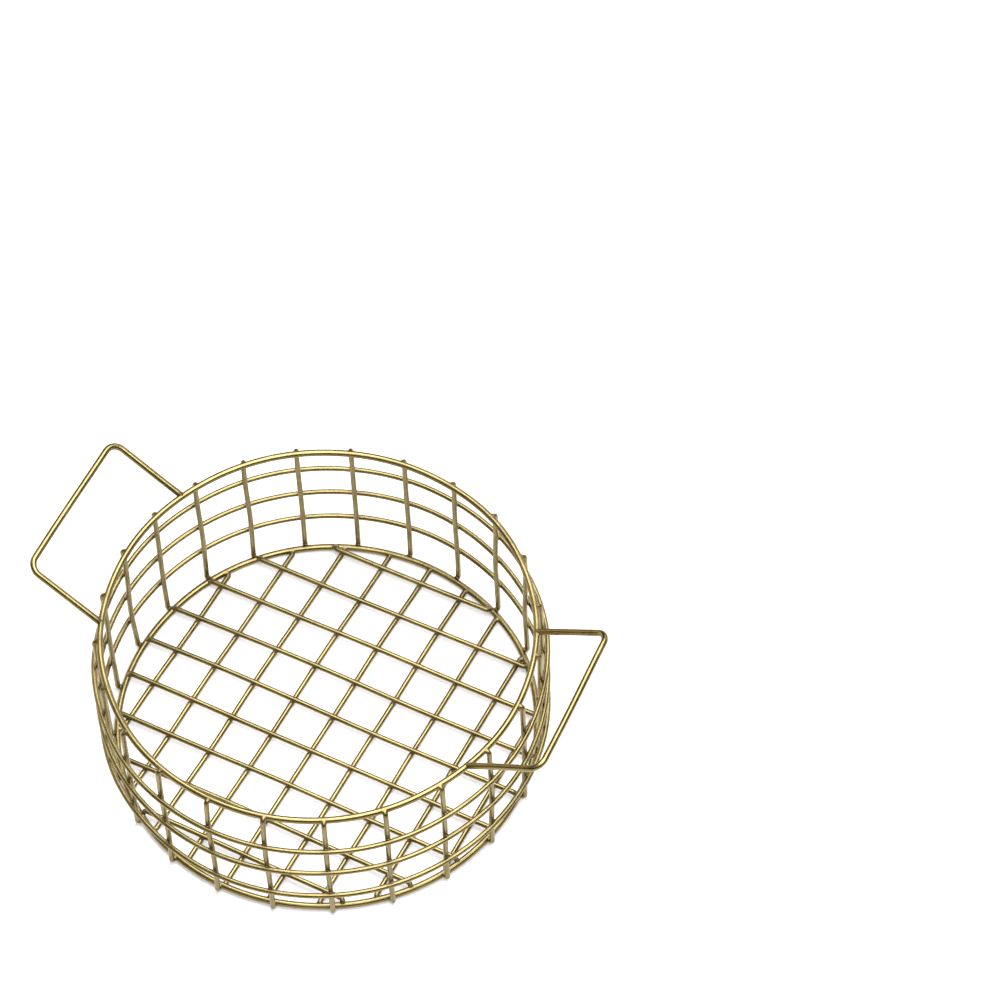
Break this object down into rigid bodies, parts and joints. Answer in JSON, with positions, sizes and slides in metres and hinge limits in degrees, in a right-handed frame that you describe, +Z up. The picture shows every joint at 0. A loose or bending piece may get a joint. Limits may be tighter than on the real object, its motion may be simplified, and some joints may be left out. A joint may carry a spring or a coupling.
{
  "type": "wire produce basket",
  "caption": "Round welded wire basket for fruit and vegetables, with open mesh sides and floor and fixed handles at its sides.",
  "frame": {"origin": "on the basket's axis, at the underside of the base ring, level with the table", "axes": "+Z up along the basket's axis, +X towards the right handle, +Y to the back"},
  "size_m": [0.3322, 0.2688, 0.1318],
  "materials": {
    "gold_paint": "satin metallic"
  },
  "bodies": {
    "root": {"rim_ring": "gold_paint", "base_ring": "gold_paint", "hoop_lower": "gold_paint", "hoop_middle": "gold_paint", "hoop_upper": "gold_paint", "upright_01": "gold_paint", "upright_02": "gold_paint", "upright_03": "gold_paint", "upright_04": "gold_paint", "upright_05": "gold_paint", "upright_06": "gold_paint", "upright_07": "gold_paint", "upright_08": "gold_paint", "upright_09": "gold_paint", "upright_10": "gold_paint", "upright_11": "gold_paint", "upright_12": "gold_paint", "upright_13": "gold_paint", "upright_14": "gold_paint", "upright_15": "gold_paint", "upright_16": "gold_paint", "upright_17": "gold_paint", "upright_18": "gold_paint", "upright_19": "gold_paint", "upright_20": "gold_paint", "upright_21": "gold_paint", "upright_22": "gold_paint", "upright_23": "gold_paint", "upright_24": "gold_paint", "floor_wire_01": "gold_paint", "floor_wire_02": "gold_paint", "floor_wire_03": "gold_paint", "floor_wire_04": "gold_paint", "floor_wire_05": "gold_paint", "floor_wire_06": "gold_paint", "floor_wire_07": "gold_paint", "floor_wire_08": "gold_paint", "floor_wire_09": "gold_paint", "cross_wire_01": "gold_paint", "cross_wire_02": "gold_paint", "cross_wire_03": "gold_paint", "cross_wire_04": "gold_paint", "cross_wire_05": "gold_paint", "cross_wire_06": "gold_paint", "cross_wire_07": "gold_paint", "cross_wire_08": "gold_paint", "cross_wire_09": "gold_paint", "handle_left": "gold_paint", "handle_right": "gold_paint"}
  },
  "joints": []
}
